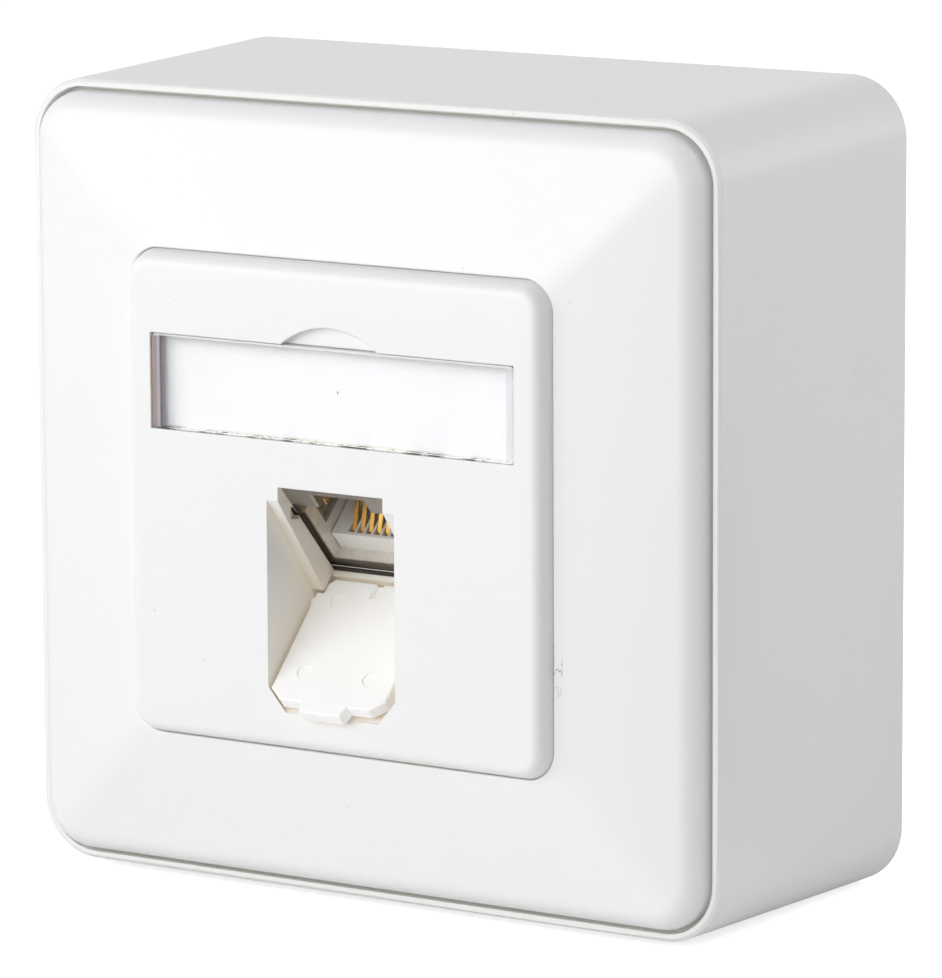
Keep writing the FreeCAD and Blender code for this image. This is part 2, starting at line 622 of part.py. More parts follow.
def cut_flap_bed(body):
    """Bed under the open flap, with the same chamfered end, the swing room and the hinge holes."""
    bed = tilted_sketch(body, "hinge_f", "hinge_z", "flap_angle", "flap_thick / 2 + flap_gap")
    rear = "-flap_rear - flap_gap"
    end = "flap_length + flap_gap + 0.09"
    corner = "flap_length - flap_chamfer_rise"
    narrow = "port_half - 2.05"
    tab = "tab_half + flap_gap + flap_shift"
    far = "flap_length + 5.2"
    add_outline(bed, [
        ("-port_half", rear), ("port_half", rear), ("port_half", corner), (narrow, end),
        (tab, end), (tab, far), ("-(%s)" % tab, far), ("-(%s)" % tab, end),
        ("-(%s)" % narrow, end), ("-port_half", corner)])
    pocket(body, bed, "flap_thick + flap_gap * 2")
    turns = ["flap_angle - 180 + 14 - %d" % (step * 18) for step in range(9)]
    arc = [("-hinge_f + swing_r * cos(%s)" % turn, "hinge_z + swing_r * sin(%s)" % turn)
           for turn in turns]
    swing = outlines(body, "YZ_Plane", "0", arc + [("-hinge_f", "hinge_z")])
    pocket(body, swing, "port_half * 2", both=True)
    holes = circles(body, "YZ_Plane", "0", ("-hinge_f", "hinge_z", "pin_r + pin_gap"))
    pocket(body, holes, "cheek_half * 2 + 1", both=True)


def cut_jack_room(body):
    """Straight slanted room behind the funnel for the jack's shell."""
    room = tilted_sketch(body, "jack_f", "jack_z", "tilt - 90", "0")
    half = "shell_half + sleeve_gap"
    add_outline(room, rectangle("-(%s)" % half, half, "-shell_height - sleeve_gap", "sleeve_gap"))
    pocket(body, room, "shell_depth + 16", reverse=True)


def make_label_window():
    """Clear pane over the label, a loose fit in the recess."""
    body = new_body("label_window")
    pane = new_sketch(body, "XZ_Plane", "face_f - window_sink")
    across = "label_half - window_gap"
    add_rounded(pane, "-(%s)" % across, across,
                "label_low + window_gap", "label_high - window_gap", "0.5")
    pad(body, pane, "window_thick", reverse=True)
    front = at_front("face_f - window_sink")
    round_edges(body, front, "0.15", "Chamfer")


def make_label_card():
    """Thin paper card on the recess floor."""
    body = new_body("label_card")
    across = "label_half - card_gap"
    card = outlines(body, "XZ_Plane", "label_f", rectangle(
        "-(%s)" % across, across, "label_low + card_gap", "label_high - card_gap"))
    pad(body, card, "card_thick")


def make_dust_flap():
    """Thin flap with a chamfered end, a finger tab and two hinge pins, stored wide open."""
    body = new_body("dust_flap", in_flap)
    under = "flap_thick / 2"
    narrow = "flap_half - flap_chamfer"
    corner = "flap_length - flap_chamfer_rise"
    half_outline = [
        ("rear_half - rear_cut", "-flap_rear"), ("rear_half", "-flap_rear + rear_cut"),
        ("rear_half", "-flap_rear + rear_long"), ("flap_half", "-flap_rear + rear_long"),
        ("flap_half", corner), (narrow, "flap_length"), ("tab_half", "flap_length"),
        ("tab_half - tab_slant", "tab_length")]
    leaf = outlines(body, "XY_Plane", "-(%s)" % under, half_outline + [
        ("-(%s)" % across, along) for across, along in reversed(half_outline)])
    pad(body, leaf, "flap_thick")
    round_edges(body, on_flap_face, "flap_bevel", "Chamfer")
    pins = circles(body, "YZ_Plane", "0", ("0", "0", "pin_r"))
    pad(body, pins, "(flap_half + pin_length) * 2", both=True)
    spots = [(side + "mark_x", along, "mark_r")
             for along in ("0", "flap_length - 3.6") for side in ("", "-")]
    pocket(body, circles(body, "XY_Plane", "-(%s)" % under, *spots), "mark_depth", reverse=True)
    notch = outlines(body, "XY_Plane", "-(%s)" % under, rectangle(
        "-rear_notch_half", "rear_notch_half", "-flap_rear - 0.5", "rear_notch_end"))
    pocket(body, notch, "rear_notch_depth", reverse=True)


def on_flap_face(edge):
    """True for an edge of the flap's upper or lower face."""
    level = size("flap_thick / 2")
    return all(abs(abs(p.z) - level) < TINY for p in points_of(edge))


def make_jack_shell():
    """Die-cast sleeve: stepped sill and rim, latch step in the roof, spring recesses in both side walls."""
    body = new_body("jack_shell", in_module)
    module_block(body, "shell_half", "-shell_height", "0", "0", "shell_depth")
    roof = "-shell_height + shell_roof"
    module_cut(body, "cavity_half", roof + " + latch_step", "-shell_sill", "0", "shell_depth")
    module_cut(body, "latch_half", roof, roof + " + latch_step + 0.1", "0", "shell_depth")
    module_cut(body, "cavity_half + rim_step", roof + " + latch_step", "-shell_sill / 2", "0", "step_depth")
    round_edges(body, on_shell_rim, "0.2", "Chamfer")
    round_edges(body, on_shell_corner, "0.6", "Chamfer")
    for side in ("", "-"):
        low = side + "(cavity_half - 0.1)"
        high = side + "(cavity_half + spring_room)"
        recess = outlines(body, "XY_Plane", "spring_set - sleeve_gap",
                          rectangle(low, high, "spring_low", "spring_high"))
        pocket(body, recess, "spring_long + sleeve_gap * 2", reverse=True)


def on_shell_rim(edge):
    """True for a front edge of the shell's stepped opening."""
    reach = size("cavity_half + rim_step") + 0.1
    return all(abs(p.z) < TINY and abs(p.x) < reach for p in points_of(edge))


def on_shell_corner(edge):
    """True for one of the four long outside corners of the shell."""
    start, middle, end = points_of(edge)
    low = min(abs(middle.y), abs(middle.y + size("shell_height")))
    return abs(start.z - end.z) > 5 and abs(abs(middle.x) - size("shell_half")) < TINY and low < TINY


def slot_row():
    """The eight contact places across the jack."""
    return ["%s * contact_pitch" % (step - 3.5) for step in range(8)]


def make_jack_insert():
    """Moulded tongue: slotted comb along the sill and a back wall with the contact passages."""
    body = new_body("jack_insert", in_module)
    half = "cavity_half - fit_gap"
    top = "-shell_sill - comb_height"
    module_block(body, half, top, "-shell_sill", "insert_set", "shell_depth")
    module_block(body, half, "-shell_height + shell_roof + latch_step + fit_gap", "-shell_sill",
                 "shell_depth - 1.3", "shell_depth")
    ways = []
    for place in slot_row():
        low = "%s - comb_slot / 2" % place
        high = "%s + comb_slot / 2" % place
        ways.append(rectangle(low, high, top + " - 0.1", "-shell_sill - 0.55"))
    comb = outlines(body, "XY_Plane", "insert_set + 0.35", *ways)
    pocket(body, comb, "shell_depth - insert_set", reverse=True)
    slits = []
    for place in slot_row():
        low = "%s - comb_slot / 2" % place
        high = "%s + comb_slot / 2" % place
        slits.append(rectangle(low, high, top + " - 6.2", top))
    pocket(body, outlines(body, "XY_Plane", "shell_depth - 1.3", *slits), "0.7", reverse=True)


def make_contacts():
    """Eight bent gold wires: flat in the comb, then rising into the plug's way."""
    for number, place in enumerate(slot_row(), 1):
        body = new_body("contact_%d" % number, in_module)
        wire = outlines(body, "YZ_Plane", place, [
            ("-2.35", "shell_depth"), ("-2.35", "3.0"), ("-2.9", "2.7"), ("-3.3", "3.0"),
            ("-7.6", "9.14"), ("-7.84", "8.97"), ("-3.52", "2.8"), ("-2.9", "2.35"),
            ("-2.05", "2.85"), ("-2.05", "shell_depth")])
        pad(body, wire, "contact_width", both=True)


def make_shield_springs():
    """Spring strips in the side recesses, each with a narrow bowed tongue towards the plug."""
    for label, side in (("shield_spring_left", "-"), ("shield_spring_right", "")):
        body = new_body(label, in_module)
        outer = "cavity_half + spring_room"
        inner = outer + " - spring_thick"
        strip = outlines(body, "XY_Plane", "spring_set", rectangle(
            side + "(%s)" % outer, side + "(%s)" % inner, "spring_low + sleeve_gap",
            "spring_high - sleeve_gap"))
        pad(body, strip, "spring_long")
        bow = [(inner, "8.6"), ("cavity_half - 0.45", "5.4"), ("cavity_half - 0.1", "3.6"),
               ("cavity_half + 0.1", "3.5"), ("cavity_half - 0.22", "5.4"), (outer, "8.6")]
        blade = new_sketch(body, "XZ_Plane", "6.5")
        add_outline(blade, [(side + "(%s)" % a, w) for a, w in bow])
        pad(body, blade, "1.6")


def make_contact_board():
    """Small circuit board across the back of the shell."""
    body = new_body("contact_board", in_module)
    board = new_sketch(body, "XY_Plane", "board_w")
    add_rounded(board, "-shell_half + 0.1", "shell_half - 0.1", "-shell_height + 0.1", "-0.1", "0.8")
    pad(body, board, "board_thick")


def around(across, up, half_x, half_y):
    """A rectangle centred on a point."""
    return rectangle("%s - %s" % (across, half_x), "%s + %s" % (across, half_x),
                     "%s - %s" % (up, half_y), "%s + %s" % (up, half_y))


def terminal_spots():
    """Two rows of four places for the insulation displacement blades."""
    return [(across, up) for up in (-3.4, -10.3) for across in (-5.1, -1.7, 1.7, 5.1)]


def make_idc_block():
    """Block with eight deep slots for the wire terminals."""
    body = new_body("idc_block", in_module)
    module_block(body, "shell_half - fit_gap", "-shell_height + 0.3", "-0.3", "idc_w", "cap_w")
    slots = [around(x, y, "0.45", "1.65") for x, y in terminal_spots()]
    pocket(body, outlines(body, "XY_Plane", "idc_w", *slots), "idc_depth", reverse=True)
    grooves = [around(x, y, "0.8", "0.6") for x, y in terminal_spots()]
    pocket(body, outlines(body, "XY_Plane", "cap_w - groove_depth", *grooves), "groove_depth", reverse=True)


def make_idc_terminals():
    """Eight forked blades standing on the board."""
    for number, (across, up) in enumerate(terminal_spots(), 1):
        body = new_body("idc_terminal_%d" % number, in_module)
        fork = outlines(body, "YZ_Plane", "%s" % across, [
            ("%s - 1.45" % up, "idc_w"), ("%s + 1.45" % up, "idc_w"),
            ("%s + 1.45" % up, "cap_w - 1.6"), ("%s + 0.9" % up, "cap_w - 1.0"),
            ("%s + 0.2" % up, "cap_w - 2.4"), ("%s + 0.2" % up, "cap_w - 4.6"),
            ("%s - 0.2" % up, "cap_w - 4.6"), ("%s - 0.2" % up, "cap_w - 2.4"),
            ("%s - 0.9" % up, "cap_w - 1.0"), ("%s - 1.45" % up, "cap_w - 1.6")])
        pad(body, fork, "0.6", both=True)


def make_wire_cap():
    """Cap that presses the wires home, with a round way for the cable and four wire grooves."""
    body = new_body("wire_cap", in_module)
    module_block(body, "shell_half - fit_gap", "-shell_height + 0.3", "-0.3",
                 "cap_w", "cap_w + cap_depth")
    middle = circles(body, "XY_Plane", "cap_w", ("0", "-shell_height / 2", "cable_r - 0.6"))
    pocket(body, middle, "cap_depth", reverse=True)
    grooves = [rectangle("%s - 0.7" % x, "%s + 0.7" % x, "-shell_height + 0.2", "-0.2")
               for x in (-5.1, 5.1)]
    pocket(body, outlines(body, "XY_Plane", "cap_w", *grooves), "cap_groove", reverse=True)


def make_rear_shell():
    """Die-cast cover over board, block and cap, with a round cable hole in its end wall."""
    body = new_body("rear_shell", in_module)
    low, high = "-shell_height - cover_wall - 0.1", "cover_wall + 0.1"
    module_block(body, "cover_half", low, high, "shell_depth", "shell_depth + cover_depth")
    round_edges(body, along_module, "cover_round")
    module_cut(body, "cover_half - cover_wall", "-shell_height - 0.1", "0.1",
               "shell_depth", "shell_depth + cover_depth - cover_wall")
    hole = circles(body, "XY_Plane", "shell_depth", ("0", "-shell_height / 2", "cable_r"))
    pocket(body, hole, "cover_depth", reverse=True)


def along_module(edge):
    """True for a long edge that runs into the module."""
    start, middle, end = points_of(edge)
    return abs(start.z - end.z) > size("cover_depth / 3")


def make_module_carrier():
    """Cradle under the module: slanted shelf, two cheeks and two feet behind the support frame."""
    body = new_body("module_carrier")
    cheeks = outlines(body, "YZ_Plane", "0", side_profile([
        ("support_back_f - foot_thick", "jack_z + 0.96"), ("jack_f - 11.03", "jack_z + 7.98"),
        ("support_back_f - foot_thick", "jack_z + 15.78")]))
    pad(body, cheeks, "22", both=True)
    room = tilted_sketch(body, "jack_f", "jack_z", "tilt - 90", "0")
    add_outline(room, rectangle("-shell_half - 0.05", "shell_half + 0.05", "-shell_height - 8", "0"))
    pocket(body, room, "shell_depth + 16", reverse=True)
    feet = outlines(body, "XZ_Plane", "support_back_f - foot_thick",
                    rectangle("-17", "-9.6", "-7", "7.5"), rectangle("9.6", "17", "-7", "7.5"))
    pad(body, feet, "foot_thick")
    holes = pair(body, "support_back_f", "carrier_screw_x", "0", "screw_r + hole_gap")
    pocket(body, holes, "foot_thick + past")


def make_module_latch():
    """Spring strap over the shell's back end."""
    body = new_body("module_latch", in_module)
    module_block(body, "shell_half + 0.8", "-shell_height - 0.8", "-8.6", "9.0", "12.5")
    module_cut(body, "shell_half", "-shell_height", "-8.5", "9.0", "12.5")


def main():
    make_back_box()
    make_support_frame()
    make_cover_frame()
    make_centre_plate()
    make_screws("support_frame_screws", "pillar_x", "0", "support_f", "9")
    make_screws("centre_plate_screws", "plate_screw_x", "label_z", "label_floor_f - 0.7", "screw_length")
    make_screws("carrier_screws", "carrier_screw_x", "0", "support_back_f - foot_thick", "4.2",
                outward=False)
    make_label_window()
    make_label_card()
    make_dust_flap()
    make_jack_shell()
    make_jack_insert()
    make_contacts()
    make_shield_springs()
    make_contact_board()
    make_idc_block()
    make_idc_terminals()
    make_wire_cap()
    make_rear_shell()
    make_module_carrier()
    make_module_latch()
    doc.recompute()
    check_all()
    os.makedirs("parts", exist_ok=True)
    for item in PARTS:
        item.Shape.exportStep("parts/%s.step" % item.Label)


def check_all():
    """Stop on any feature that failed or any sub-part that is not one sound shape."""
    for item in doc.Objects:
        if "Invalid" in item.State or "Error" in item.State:
            raise RuntimeError("%s (%s) failed" % (item.Name, item.Label))
    for item in PARTS:
        if item.Shape.isNull() or not item.Shape.isValid():
            raise RuntimeError(item.Label + " is not a valid shape")


main()
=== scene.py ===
import json
import math

import bpy
import numpy as np
from bpy.props import FloatProperty, FloatVectorProperty, PointerProperty
from mathutils import Matrix, Vector


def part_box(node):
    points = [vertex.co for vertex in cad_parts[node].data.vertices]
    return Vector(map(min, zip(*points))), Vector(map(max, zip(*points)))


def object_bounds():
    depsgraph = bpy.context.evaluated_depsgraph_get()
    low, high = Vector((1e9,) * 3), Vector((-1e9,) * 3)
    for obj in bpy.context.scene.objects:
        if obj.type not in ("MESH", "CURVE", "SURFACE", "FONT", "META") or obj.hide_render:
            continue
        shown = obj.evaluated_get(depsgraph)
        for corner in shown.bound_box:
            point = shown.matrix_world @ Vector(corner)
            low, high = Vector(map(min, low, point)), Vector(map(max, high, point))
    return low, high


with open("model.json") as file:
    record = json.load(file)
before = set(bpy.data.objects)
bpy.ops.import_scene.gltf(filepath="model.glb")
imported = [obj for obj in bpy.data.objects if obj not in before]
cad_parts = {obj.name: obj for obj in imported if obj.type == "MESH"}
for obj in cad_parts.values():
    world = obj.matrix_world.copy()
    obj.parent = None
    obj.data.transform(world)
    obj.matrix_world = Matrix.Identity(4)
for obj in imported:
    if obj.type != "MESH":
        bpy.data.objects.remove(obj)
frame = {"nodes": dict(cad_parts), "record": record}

bl_info = {
    "name": "Surface jack box looks",
    "version": (1, 0, 0),
    "blender": (4, 5, 0),
    "location": "View3D > Sidebar > Jack box",
    "description": "Finishes and studio for a surface mount jack box",
    "category": "Object",
}

MM = 0.001
NODES = frame["nodes"]
CAD_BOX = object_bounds()

# The jack's mouth: the middle of its front plane, the way in, the way down, and the step in its rim.
MOUTH = [mount for mount in frame["record"]["mounts"] if mount["name"] == "plug_port"][0]
PORT = tuple(MOUTH["pos_m"])
PORT_AXIS = tuple(-part for part in MOUTH["axis"])
PORT_DOWN = (0.0, PORT_AXIS[2], -PORT_AXIS[1])
STEP_DOWN = 6.15 * MM
STEP_ACROSS = 6.5 * MM
STEP_DEEP = 0.45 * MM

ORIGIN = (0.0, 0.0, 0.0)
ALONG_X = (1.0, 0.0, 0.0)
ALONG_Z = (0.0, 0.0, 1.0)

# Moulded plastic: what its tint is multiplied by for painted shade in crevices and in the port's hollow,
# its dust and scratches, the painted glow standing for light that passes through it, and the reach of
# narrow and of deep painted shade.
CREVICE_SHADE_SHIFT = (0.82, 0.765, 0.64)
HOLLOW_SHADE_SHIFT = (0.95, 0.85, 0.68)
DUST = (0.42, 0.38, 0.33, 1.0)
SCRATCH = (0.10, 0.09, 0.08, 1.0)
INNER_LIGHT = (1.0, 0.985, 0.955, 1.0)
NARROW_REACH = 0.9 * MM
HOLLOW_REACH = 11 * MM
GLOSS_SPREAD = 0.004

# Boxes, each a middle and half sizes: the port's hollow, whose depths get painted shade, and the
# scratches beside the centre plate.
PORT_HOLLOW = ((0.0, PORT[1], -9 * MM), (16 * MM, 40 * MM, 18 * MM))
SCRATCHES = (
    ((25.7 * MM, -41.2 * MM, -12.7 * MM), (0.6 * MM, 2.0 * MM, 1.7 * MM)),
    ((25.9 * MM, -41.2 * MM, -15.8 * MM), (0.4 * MM, 2.0 * MM, 0.6 * MM)),
)

# The one dark fleck on the label card.
FLECK = (0.27 * MM, 0.0, 12.14 * MM)

# Angle in degrees from which an edge stays sharp; the frame's slopes meet at a lower one.
CRISP = 34.0
FRAME_CRISP = 12.0

# The studio: what the lamps face, each lamp's place, width and height, and tone, and the floor.
AIM = (0.0, -0.02, 0.0)
WHITE_LIGHT = (1.0, 1.0, 1.0)
LAMPS = {
    "Key": ((-0.45, -0.92, 0.12), (1.3, 1.3), WHITE_LIGHT),
    "Top": ((0.0, -0.1, 0.9), (0.8, 0.8), (0.25, 0.22, 1.0)),
    "Side": ((0.8, 0.62, 0.28), (0.6, 0.6), WHITE_LIGHT),
    "Shoulder": ((0.55, 0.42, 0.72), (0.15, 0.5), WHITE_LIGHT),
}
FLOOR_HALF = 3.0
FLOOR_GLOW = 0.68


# ---------------------------------------------------------------- shader building

class Shader:
    """A material's node tree, written as calls: each call adds a node and links what it is given."""

    def __init__(self, name):
        self.material = bpy.data.materials.new(name)
        self.material.use_nodes = True
        self.tree = self.material.node_tree
        self.tree.nodes.clear()
        self.where = self.add("ShaderNodeTexCoord").outputs["Object"]

    def add(self, kind, inputs=None, **settings):
        node = self.tree.nodes.new(kind)
        for key, value in settings.items():
            setattr(node, key, value)
        for key, value in (inputs or {}).items():
            self.feed(node.inputs[key], value)
        return node

    def feed(self, socket, value):
        if isinstance(value, bpy.types.NodeSocket):
            self.tree.links.new(value, socket)
        else:
            socket.default_value = value

    def noise(self, scale, detail=4.0, rough=0.5, stretch=(1.0, 1.0, 1.0)):
        where = self.add("ShaderNodeMapping", {"Vector": self.where, "Scale": stretch}).outputs[0]
        inputs = {"Vector": where, "Scale": scale, "Detail": detail, "Roughness": rough}
        return self.add("ShaderNodeTexNoise", inputs).outputs["Fac"]

    def span(self, value, low, high, to_low=0.0, to_high=1.0):
        """Value from low..high carried linearly and clamped to to_low..to_high."""
        inputs = {"Value": value, "From Min": low, "From Max": high, "To Min": to_low, "To Max": to_high}
        return self.add("ShaderNodeMapRange", inputs, clamp=True).outputs["Result"]

    def math(self, operation, first, second=0.0):
        node = self.add("ShaderNodeMath", operation=operation)
        self.feed(node.inputs[0], first)
        self.feed(node.inputs[1], second)
        return node.outputs[0]

    def mix(self, factor, first, second):
        node = self.add("ShaderNodeMix", data_type="RGBA")
        self.feed(node.inputs[0], factor)
        self.feed(node.inputs[6], first)
        self.feed(node.inputs[7], second)
        return node.outputs[2]

    def crevice(self, reach):
        """1 in the open, falling to 0 deep in a gap narrower than the reach."""
        return self.add("ShaderNodeAmbientOcclusion", {"Distance": reach}, samples=6).outputs["AO"]

    def specks(self, scale, size, share):
        """1 on a few small round specks, one at most in each cell of a random net."""
        net = self.add("ShaderNodeTexVoronoi", {"Vector": self.where, "Scale": scale})
        near = self.span(net.outputs["Distance"], size, size * 0.4)
        pick = self.add("ShaderNodeSeparateColor", {"Color": net.outputs["Color"]}).outputs[0]
        return self.math("MULTIPLY", near, self.math("GREATER_THAN", pick, 1.0 - share))

    def edge_normal(self, radius):
        return self.add("ShaderNodeBevel", {"Radius": radius}, samples=4).outputs[0]

    def along(self, origin, axis):
        """Distance of the shaded point from a plane through the origin, along the plane's axis."""
        near = self.add("ShaderNodeVectorMath", {0: self.where, 1: origin}, operation="SUBTRACT")
        reach = self.add("ShaderNodeVectorMath", {0: near.outputs[0], 1: axis}, operation="DOT_PRODUCT")
        return reach.outputs["Value"]

    def band(self, value, middle, half, soft):
        """1 where the value is within half of the middle, fading over the soft width."""
        off = self.math("ABSOLUTE", self.math("SUBTRACT", value, middle))
        return self.span(off, half + soft, half)

    def inside(self, middle, reach):
        """1 within a box given by its middle and its half sizes, fading over its outer two fifths."""
        whole = 1.0
        for side, half in enumerate(reach):
            axis = tuple(float(side == index) for index in range(3))
            part = self.band(self.along(middle, axis), 0.0, half * 0.6, half * 0.4)
            whole = self.math("MULTIPLY", whole, part)
        return whole

    def scuff(self, middle, reach):
        """A share of 1 on hair-thin scratches inside a small box."""
        lines = self.noise(1100.0, 2.0, 0.5, (1.6, 1.0, 0.5))
        return self.math("MULTIPLY", self.inside(middle, reach), self.band(lines, 0.5, 0.006, 0.02))

    def bump(self, height, strength, distance, normal=None):
        inputs = {"Height": height, "Strength": strength, "Distance": distance}
        if normal is not None:
            inputs["Normal"] = normal
        return self.add("ShaderNodeBump", inputs).outputs[0]

    def finish(self, **inputs):
        """A principled surface with these inputs, wired to the output."""
        surface = self.add("ShaderNodeBsdfPrincipled")
        for key, value in inputs.items():
            self.feed(surface.inputs[key.replace("_", " ").title().replace("Ior", "IOR")], value)
        out = self.add("ShaderNodeOutputMaterial")
        self.tree.links.new(surface.outputs[0], out.inputs["Surface"])


def colour(values):
    return (values[0], values[1], values[2], 1.0)


def shade(values, factor):
    return colour([part * factor for part in values])


def shift(values, factors):
    return colour([part * factor for part, factor in zip(values, factors)])


def moulded(name, tint, gloss, edge, crevice_shade=0.3, specks=0.35, hollow=None, glow=0.02, lift=0.0, scuffs=()):
    """Satin moulded plastic: faint flow clouds, fine skin, painted warm shade in crevices and a few dust
    specks.

    Narrow gaps get a faint painted glow in place of black, and a thin piece gets an even painted lift, both
    standing for light that passes through. Hollow is a box whose depths get painted ivory shade. Scuffs are
    boxes with scratches.
    """
    s = Shader(name)
    clouds = s.noise(38.0, 2.0, 0.5)
    skin = s.noise(2400.0, 1.0, 0.5)
    base = s.mix(s.span(clouds, 0.2, 0.8), shade(tint, 0.996), colour(tint))
    # Painted shade: in crevices and narrow gaps the tint darkens towards a warm tone; the same measure sets
    # the painted glow in narrow gaps.
    narrow = s.crevice(NARROW_REACH)
    base = s.mix(s.span(narrow, 0.0, 0.35, crevice_shade, 0.0), base, shift(tint, CREVICE_SHADE_SHIFT))
    if hollow:
        # Painted shade: deep in the port's hollow the tint turns ivory.
        deep = s.span(s.crevice(HOLLOW_REACH), 0.3, 0.95, 0.85, 0.0)
        base = s.mix(s.math("MULTIPLY", deep, s.inside(*hollow)), base, shift(tint, HOLLOW_SHADE_SHIFT))
    dust = s.math("MULTIPLY", s.specks(330.0, 0.045, specks), 0.55)
    base = s.mix(dust, base, DUST)
    for middle, reach in scuffs:
        base = s.mix(s.scuff(middle, reach), base, SCRATCH)
    rough = s.span(s.noise(260.0, 2.0, 0.5), 0.3, 0.7, gloss - GLOSS_SPREAD, gloss + GLOSS_SPREAD)
    normal = s.bump(skin, 0.01, 0.01 * MM, s.edge_normal(edge))
    # The emission is painted glow in narrow gaps and on thin pieces.
    s.finish(base_color=base, roughness=rough, normal=normal, specular_ior_level=0.45,
             emission_color=INNER_LIGHT,
             emission_strength=s.span(narrow, 0.05, 0.75, glow + lift, lift))
    return s.material


def casting(name, tint):
    """Nickel-plated casting, pale inside.

    Round the jack's mouth its front is painted black with a brown floor on the step, as painted shade, and
    a bright painted highlight line, which also glows faintly, runs along the step's edge. The part above
    the mouth is painted grey-brown as shade.
    """
    s = Shader(name)
    roof_high, roof_low = -2.6 * MM, -2.2 * MM
    # Painted shade: black for the front round the mouth, brown for the step's floor, grey-brown for the
    # part above the mouth. The pale line colour is a painted highlight.
    black, brown = (0.03, 0.028, 0.026, 1.0), (0.20, 0.17, 0.14, 1.0)
    roof_shade, highlight_tint = (0.26, 0.235, 0.20, 1.0), (0.95, 0.94, 0.9, 1.0)
    depth = s.along(PORT, PORT_AXIS)
    drop = s.along(PORT, PORT_DOWN)
    across = s.math("ABSOLUTE", s.along(ORIGIN, ALONG_X))
    grain = s.noise(900.0, 5.0, 0.6)

    beside = s.span(across, 6.2 * MM, 6.4 * MM)
    rim = s.math("MAXIMUM", s.span(drop, roof_high, roof_low), beside)
    front = s.math("MULTIPLY", s.span(depth, STEP_DEEP + 0.25 * MM, STEP_DEEP + 0.05 * MM), rim)
    floor = s.band(depth, STEP_DEEP, 0.1 * MM, 0.06 * MM)
    shallow = s.span(depth, 1.6 * MM, 1.2 * MM, 0.0, 0.85)
    roof = s.math("MULTIPLY", shallow, s.span(drop, roof_low, roof_high))
    # Painted highlight: a bright line along the step's edge, broken up by the grain; the emission also
    # makes it glow faintly.
    sill = s.band(drop, STEP_DOWN, 0.04 * MM, 0.04 * MM)
    cheek = s.band(across, STEP_ACROSS, 0.02 * MM, 0.03 * MM)
    line = s.math("MULTIPLY", s.math("MAXIMUM", sill, cheek), front)
    line = s.math("MULTIPLY", line, s.span(depth, 0.2 * MM, 0.14 * MM))
    broken_highlight = s.math("MULTIPLY", line, s.span(grain, 0.35, 0.5, 0.45, 1.0))

    base = s.mix(s.span(grain, 0.35, 0.75), colour(tint), shade(tint, 0.8))
    base = s.mix(roof, base, roof_shade)
    base = s.mix(front, base, s.mix(floor, black, brown))
    base = s.mix(broken_highlight, base, highlight_tint)
    rough = s.span(grain, 0.3, 0.7, 0.25, 0.45)
    shiny = s.span(s.math("MAXIMUM", front, roof), 0.0, 1.0, 0.35, 0.9)
    s.finish(base_color=base, metallic=shiny, roughness=rough, normal=s.bump(grain, 0.1, 0.02 * MM),
             emission_color=(1.0, 0.99, 0.96, 1.0), emission_strength=s.math("MULTIPLY", line, 0.12))
    return s.material


def metal(name, tint, rough, grain, stretch, edge, stain=0.25):
    """Plated or drawn metal: stretched grain in the gloss and faint stains."""
    s = Shader(name)
    lines = s.noise(grain, 5.0, 0.6, stretch)
    blots = s.noise(420.0, 5.0, 0.65)
    base = s.mix(s.span(blots, 0.45, 0.8, 0.0, stain), colour(tint), shade(tint, 0.45))
    normal = s.bump(lines, 0.12, 0.02 * MM, s.edge_normal(edge))
    s.finish(base_color=base, metallic=1.0, roughness=s.span(lines, 0.3, 0.7, *rough), normal=normal)
    return s.material


